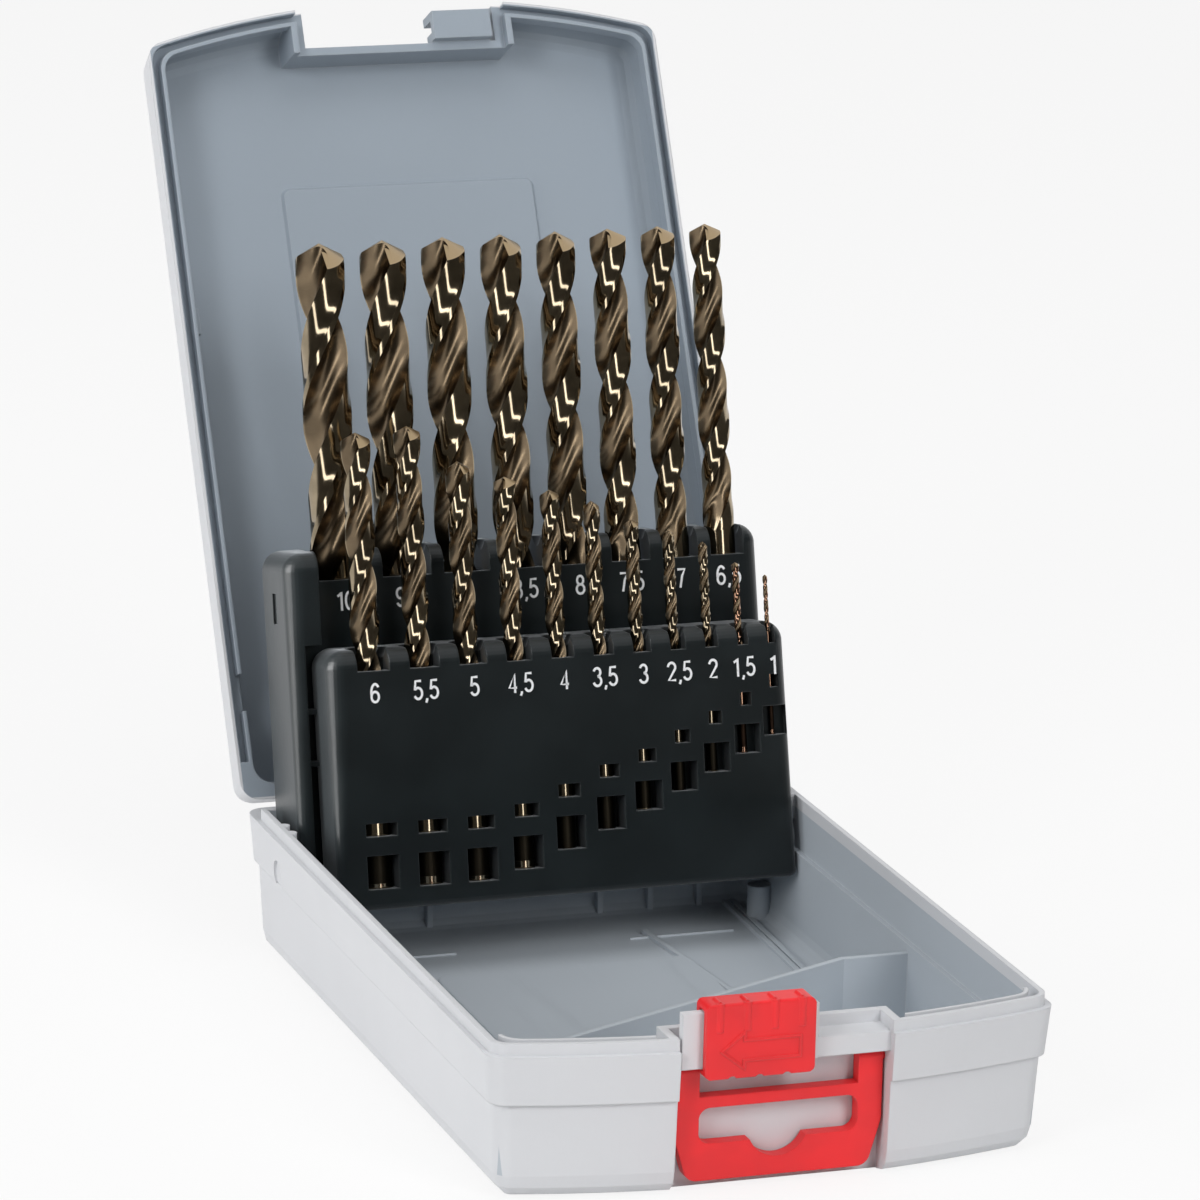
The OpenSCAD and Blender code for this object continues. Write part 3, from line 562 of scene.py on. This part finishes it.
def inside_lid(finish):
    """Inside of the lid but for faces that look up, both measured in the closed lid's frame: the open lid's
    own frame turned back about the hinge."""
    turn = math.radians(LID_OPEN)
    _, hinge_y, hinge_z = (v * MM for v in LID_HINGE)
    place, facing = finish.place(), finish.facing()
    y, z = finish.axis(place, "Y") - hinge_y, finish.axis(place, "Z") - hinge_z
    along = y * math.cos(turn) - z * math.sin(turn) + hinge_y
    up = y * math.sin(turn) + z * math.cos(turn) + hinge_z
    upward = finish.axis(facing, "Y") * math.sin(turn) + finish.axis(facing, "Z") * math.cos(turn)
    walls = inside_walls(finish, finish.axis(place, "X"), along, up, 0.0023, 0.1972, 0.0280, 0.0410)
    return walls * upward.below(0.08)


def grey_plastic(name, settings, inner_grey_and_shade, inside):
    """Pale grey plastic: textured and paler outside, bluer inside and darker there as painted shade, with
    clouds, worn edges and scuffs.
    """
    finish = Finish(name)
    rounded = finish.bevel(settings.soft_edge)
    within = inside(finish)
    clouds = finish.noise(22.0, 3.0).above(0.3, 0.7)
    # the inside takes its darker, bluer grey: painted shade of the case's walls
    tone = finish.mix(within, settings.outer_grey, inner_grey_and_shade)
    tone = finish.mix(clouds * 0.06, tone, shade(inner_grey_and_shade, 0.7))
    tone = finish.mix(finish.edges(rounded) * 0.3, tone, shade(settings.outer_grey, 1.2))
    scuffs = finish.noise(260.0, 5.0, finish.turned(rotation=(0.3, 0.2, 0.9), scale=(1, 0.06, 1)))
    scuffs = scuffs.above(0.6, 0.72)
    rough = settings.roughness - within * 0.08 + clouds * 0.06 - scuffs * 0.1
    finish.set(Base_Color=tone, Roughness=rough, Specular_IOR_Level=0.4,
               Normal=moulded_grain(finish, settings.grain, rounded))
    return finish


def black_plastic(settings):
    """Black satin plastic with a finer grain and greyer edges."""
    finish = Finish("holder_black")
    rounded = finish.bevel(settings.soft_edge)
    clouds = finish.noise(60.0, 3.0).above(0.35, 0.65)
    tone = finish.mix(clouds, shade(settings.black, 0.85), shade(settings.black, 1.15))
    tone = finish.mix(finish.edges(rounded) * 0.3, tone, shade(settings.black, 3.0))
    finish.set(Base_Color=tone, Roughness=0.33 + clouds * 0.07, Specular_IOR_Level=0.4,
               Sheen_Weight=0.25, Sheen_Roughness=0.4, Sheen_Tint=(0.92, 0.96, 1.0),
               Normal=moulded_grain(finish, settings.grain * 0.8, rounded, 0.00002))
    return finish


def red_plastic(settings):
    """Glossier red plastic whose worn edges turn paler."""
    finish = Finish("red_plastic")
    rounded = finish.bevel(settings.soft_edge)
    clouds = finish.noise(90.0, 2.0).above(0.35, 0.65)
    tone = finish.mix(clouds, shade(settings.red, 0.93), shade(settings.red, 1.03))
    tone = finish.mix(finish.edges(rounded) * 0.35, tone, (0.86, 0.13, 0.13))
    finish.set(Base_Color=tone, Roughness=0.38 + clouds * 0.06, Specular_IOR_Level=0.5,
               Normal=moulded_grain(finish, settings.grain, rounded, 0.000015))
    return finish


def drill_steel(name, settings, copper=0.0):
    """Ground steel with a bronze heat colour: polished dark lands with faint grinding lines round the axis,
    paler satin flutes and a freshly ground point."""
    finish = Finish(name)
    deep = finish.attribute("flute_depth").above(0.02, 0.3)
    ground = finish.attribute("point")
    bore_shade = finish.attribute("bore_shade")
    lean = math.radians(HOLDER_LEAN)
    lines = finish.noise(1500.0, 2.0, finish.turned(rotation=(lean, 0, 0), scale=(0.3, 0.3, 4.0)))
    patches = finish.noise(160.0, 2.0).above(0.3, 0.7)
    land = tuple(b * (1 - copper) + c * copper for b, c in zip(settings.bronze, settings.copper))
    tone = finish.mix(patches, shade(land, 0.8), shade(land, 1.25))
    tone = finish.mix(deep, tone, finish.mix(patches, shade(settings.gold, 0.75), shade(settings.gold, 1.2)))
    tone = finish.mix(lines.above(0.5, 0.8) * 0.3, tone, shade(land, 0.7))
    tone = finish.mix(ground, tone, settings.point)
    # the shank's band down in the bore is painted near black: painted shade of the bore
    tone = finish.mix(bore_shade, tone, shade(land, 0.07))
    rough = 0.09 + lines * 0.05 + deep * 0.14 + ground * 0.2 + bore_shade * 0.3
    finish.set(Base_Color=tone, Metallic=1.0, Roughness=rough,
               Normal=finish.bump(lines * (0.2 + deep), 0.000004))
    return finish


def print_white(settings):
    """White pad print, a little broken up at its edges."""
    finish = Finish("printed_white")
    specks = finish.noise(2500.0, 2.0).above(0.28, 0.42)
    tone = finish.mix(specks, shade(settings.white, 0.75), settings.white)
    finish.set(Base_Color=tone, Roughness=0.5 + specks * 0.05, Normal=finish.bump(specks, 0.000004))
    return finish


# ---- operators -------------------------------------------------------------------------------------


class DressGreyCase(bpy.types.Operator):
    """Gives the base tray and the lid their grey plastics"""

    bl_idname = "bitcase.grey_case"
    bl_label = "Grey Case"

    def execute(self, context):
        s = context.scene.bitcase_plastic
        dress(grey_plastic("base_grey_and_shade", s, s.tray_grey_and_shade, inside_tray), "base_tray")
        dress(grey_plastic("lid_grey_and_shade", s, s.lid_grey_and_shade, inside_lid), "lid")
        return {"FINISHED"}


class DressHolder(bpy.types.Operator):
    """Gives the bit holder its black plastic"""

    bl_idname = "bitcase.holder"
    bl_label = "Bit Holder"

    def execute(self, context):
        dress(black_plastic(context.scene.bitcase_plastic), "bit_holder")
        return {"FINISHED"}


class DressRedParts(bpy.types.Operator):
    """Gives the latch and the hanger their red plastic"""

    bl_idname = "bitcase.red_parts"
    bl_label = "Latch and Hanger"

    def execute(self, context):
        dress(red_plastic(context.scene.bitcase_plastic), "latch", "hanger")
        return {"FINISHED"}


class GrindDrills(bpy.types.Operator):
    """Makes the ground twist drills in place of the plain ones"""

    bl_idname = "bitcase.drills"
    bl_label = "Twist Drills"

    def execute(self, context):
        s = context.scene.bitcase_drills
        bronze = drill_steel("drill_bronze", s)
        copper = drill_steel("drill_copper", s, 0.7)
        for k, (diameter, length, flute) in enumerate(BACK_DRILLS):
            self.grind(s, bronze, (diameter, length, flute, BACK_TURNS[k]),
                       (BACK_X[k], BACK_FACE + BACK_WALL + diameter / 2, BACK_TIP - length))
        for k, (diameter, length, flute) in enumerate(FRONT_DRILLS):
            self.grind(s, copper if diameter < 1.8 else bronze, (diameter, length, flute, FRONT_TURNS[k]),
                       (FRONT_X[k], FRONT_WALL + diameter / 2, front_seat(k)))
        return {"FINISHED"}

    def grind(self, settings, finish, drill, seat):
        points, faces, marks = drill_surface(*drill, settings)
        name = drill_name(drill[0])
        piece = new_piece("ground_" + name, raised(points + np.array(seat)), faces, finish, math.radians(16))
        for mark, values in marks.items():
            kept = piece.data.attributes.new(mark, "FLOAT", "POINT")
            kept.data.foreach_set("value", values.astype(np.float32))
        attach(piece, name.replace("drill", "bit"))
        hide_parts(name)


class PrintSizes(bpy.types.Operator):
    """Prints each drill's size on the holder's two tiers"""

    bl_idname = "bitcase.sizes"
    bl_label = "Printed Sizes"

    def execute(self, context):
        s = context.scene.bitcase_sizes
        white = print_white(s)
        for k, (diameter, _, _) in enumerate(BACK_DRILLS):
            self.print_size(s, white, diameter, BACK_X[k], BACK_FACE, BACK_PRINT_UP, s.back_height / MM)
        for k, (diameter, _, _) in enumerate(FRONT_DRILLS):
            self.print_size(s, white, diameter, FRONT_X[k], 0.0, FRONT_PRINT_UP, s.front_height / MM)
        return {"FINISHED"}

    def print_size(self, settings, finish, diameter, x, face, z, height):
        """Digits are laid side by side as flat bands, scaled to the wanted height and set on the face."""
        words = f"{diameter:g}".replace(".", ",")
        flat, faces, pen = np.empty((0, 2)), [], 0.0
        for digit in words:
            for line in digit_lines(digit):
                points, quads = ribbon(line, settings.weight, len(flat))
                flat = np.concatenate([flat, points + (pen, 0)])
                faces += quads
            pen += ADVANCE.get(digit, WIDE_ADVANCE)
        across = (flat[:, 0] - (flat[:, 0].min() + flat[:, 0].max()) / 2) * height * settings.narrow + x
        up = (flat[:, 1] - 0.5) * height + z
        placed = raised(np.stack([across, 0 * up + face - settings.proud / MM, up], axis=-1))
        piece = new_piece("size_mark_" + drill_name(diameter)[6:], placed, faces, finish)
        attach(piece, "holder")


class SetStudio(bpy.types.Operator):
    """Sets up the camera, the floor, the lights and the white surroundings"""

    bl_idname = "bitcase.studio"
    bl_label = "Studio"

    def execute(self, context):
        s = context.scene.bitcase_studio
        self.camera(context, s)
        self.floor(s)
        self.card(s)
        self.lights(context)
        self.sky(context, s)
        context.scene.view_settings.view_transform = "Standard"
        return {"FINISHED"}

    def camera(self, context, s):
        """The camera looks along a heading and a dip, and rolls about that line."""
        heading, dip, roll = (math.radians(a) for a in (s.heading, s.dip, s.roll))
        ahead = Vector((math.sin(heading) * math.cos(dip), math.cos(heading) * math.cos(dip), -math.sin(dip)))
        right = ahead.cross(Vector((0, 0, 1))).normalized()
        up = right.cross(ahead)
        side = right * math.cos(roll) + up * math.sin(roll)
        top = up * math.cos(roll) - right * math.sin(roll)
        turn = Matrix((side, top, -ahead)).transposed().to_4x4()
        data = bpy.data.cameras.new("camera")
        data.sensor_width = 36
        data.lens = s.lens
        data.shift_x, data.shift_y = s.shift
        data.clip_start, data.clip_end = 0.05, 50
        camera = bpy.data.objects.new("camera", data)
        camera.matrix_world = Matrix.Translation(Vector(s.camera_place)) @ turn
        context.scene.collection.objects.link(camera)
        context.scene.camera = camera

    def floor(self, s):
        """A pale floor that glows white for the camera and for mirrors, and keeps a soft shadow."""
        finish = Finish("studio_floor")
        finish.set(Base_Color=s.floor, Roughness=0.7)
        camera, gloss, clear = (finish.put("ShaderNodeLightPath", out=ray) for ray in WHITE_RAYS)
        seen = camera.larger(gloss).larger(clear)
        glow = finish.put("ShaderNodeEmission", {}, {"Color": (1, 1, 1), "Strength": 1.0})
        both = finish.put("ShaderNodeMixShader", {}, {
            0: seen * 0.85, 1: Signal(finish, finish.shader.outputs[0]), 2: glow})
        output = next(n for n in finish.tree.nodes if n.type == "OUTPUT_MATERIAL")
        finish.feed(output.inputs["Surface"], both)
        half = 4.0
        corners = np.array([[-half, -half, 0], [half, -half, 0], [half, half, 0], [-half, half, 0]])
        floor = new_piece("floor", corners, [[0, 1, 2, 3]], finish)

    def card(self, s):
        """A dark card stands round the front, hidden from the camera, for the polished metal to mirror."""
        finish = Finish("studio_card")
        finish.set(Base_Color=s.card, Roughness=1.0, Specular_IOR_Level=0.0)
        radius, height, posts = 1.9, 1.7, 24
        angles = np.radians(np.linspace(-169, 111, posts))
        ring = np.stack([np.sin(angles), -np.cos(angles)], axis=-1) * radius
        points = np.concatenate([np.insert(ring, 2, 0.0, axis=1), np.insert(ring, 2, height, axis=1)])
        faces = [[k, k + 1, k + 1 + posts, k + posts] for k in range(posts - 1)]
        card = new_piece("card", points, faces, finish)
        card.visible_camera = False

    def lights(self, context):
        """Soft lamps, two strips that only the drills mirror, and one lamp for the black holder alone.

        Each row is a lamp's name, place, aim, width, height and power.
        """
        lit = {"strip": bpy.data.collections.new("lit_by_strips"),
               "holder": bpy.data.collections.new("lit_by_holder_lamp")}
        lit["holder"].objects.link(frame["nodes"]["bit_holder"])
        for piece in bpy.data.objects:
            if piece.name.startswith("ground_"):
                lit["strip"].objects.link(piece)
        for name, place, aim, width, height, power in (
                ("front_left", (-1.15, -0.85, 0.9), (0, 0, 0.05), 0.5, 0.8, 9.0),
                ("front_right", (0.5, -1.3, 0.9), (0, 0, 0.05), 0.5, 0.8, 10.0),
                ("side_left", (-1.5, 0.0, 0.35), (0, 0, 0.05), 0.5, 0.9, 6.5),
                ("back_left", (-0.9, 1.0, 0.3), (0, 0, 0.05), 0.5, 0.6, 3.5),
                ("strip_right", (0.197, -1.37, 0.65), (0, 0.07, 0.12), 0.27, 1.6, 5.4),
                ("strip_left", (-1.088, -0.889, 0.65), (0, 0.07, 0.12), 0.27, 1.6, 5.4),
                ("holder_left", (-1.3, 0.25, 0.45), (0, 0.05, 0.05), 0.7, 0.9, 30.0),
                ("top", (0.0, -0.2, 1.5), (0, 0, 0.0), 0.8, 0.8, 4.8)):
            data = bpy.data.lights.new(name, "AREA")
            data.shape = "RECTANGLE"
            data.size, data.size_y = width, height
            data.energy = power
            lamp = bpy.data.objects.new(name, data)
            lamp.location = place
            lamp.visible_camera = False
            purpose = name.split("_")[0]
            lamp.visible_glossy = purpose in lit
            if purpose in lit:
                lamp.light_linking.receiver_collection = lit[purpose]
            lamp.rotation_euler = (Vector(aim) - Vector(place)).to_track_quat("-Z", "Y").to_euler()
            context.scene.collection.objects.link(lamp)

    def sky(self, context, s):
        """White where the camera, a gloss or a clear part sees it, and a plain soft light elsewhere."""
        world = bpy.data.worlds.new("studio_sky")
        world.use_nodes = True
        context.scene.world = world
        tree = world.node_tree
        ground = next(n for n in tree.nodes if n.type == "BACKGROUND")
        path = tree.nodes.new("ShaderNodeLightPath")
        seen = path.outputs[WHITE_RAYS[0]]
        for ray in WHITE_RAYS[1:]:
            larger = tree.nodes.new("ShaderNodeMath")
            larger.operation = "MAXIMUM"
            tree.links.new(seen, larger.inputs[0])
            tree.links.new(path.outputs[ray], larger.inputs[1])
            seen = larger.outputs[0]
        strength = tree.nodes.new("ShaderNodeMapRange")
        strength.inputs["To Min"].default_value = s.sky
        strength.inputs["To Max"].default_value = 1.0
        tree.links.new(seen, strength.inputs["Value"])
        tree.links.new(strength.outputs[0], ground.inputs["Strength"])
        ground.inputs["Color"].default_value = (1, 1, 1, 1)


# ---- panel and registration ------------------------------------------------------------------------

GROUPS = (("bitcase_plastic", PlasticSettings), ("bitcase_drills", DrillSettings),
          ("bitcase_sizes", SizeMarkSettings), ("bitcase_studio", StudioSettings))
STEPS = (DressGreyCase, DressHolder, DressRedParts, GrindDrills, PrintSizes, SetStudio)


class BitCasePanel(bpy.types.Panel):
    """Lists the case's pieces and their settings"""

    bl_idname = "VIEW3D_PT_bitcase"
    bl_label = "Bit Case"
    bl_space_type = "VIEW_3D"
    bl_region_type = "UI"
    bl_category = "Bit Case"

    def draw(self, context):
        for step in STEPS:
            self.layout.operator(step.bl_idname)
        for group, kind in GROUPS:
            box = self.layout.box()
            box.label(text=kind.__doc__.rstrip("."))
            for name in kind.__annotations__:
                box.prop(getattr(context.scene, group), name)


def register():
    for group, kind in GROUPS:
        bpy.utils.register_class(kind)
        setattr(bpy.types.Scene, group, bpy.props.PointerProperty(type=kind))
    for step in STEPS + (BitCasePanel,):
        bpy.utils.register_class(step)


def unregister():
    for step in (BitCasePanel,) + STEPS[::-1]:
        bpy.utils.unregister_class(step)
    for group, kind in GROUPS[::-1]:
        delattr(bpy.types.Scene, group)
        bpy.utils.unregister_class(kind)


def main():
    register()
    bpy.ops.bitcase.grey_case()
    bpy.ops.bitcase.holder()
    bpy.ops.bitcase.red_parts()
    bpy.ops.bitcase.drills()
    bpy.ops.bitcase.sizes()
    bpy.ops.bitcase.studio()


if __name__ == "__main__":
    main()
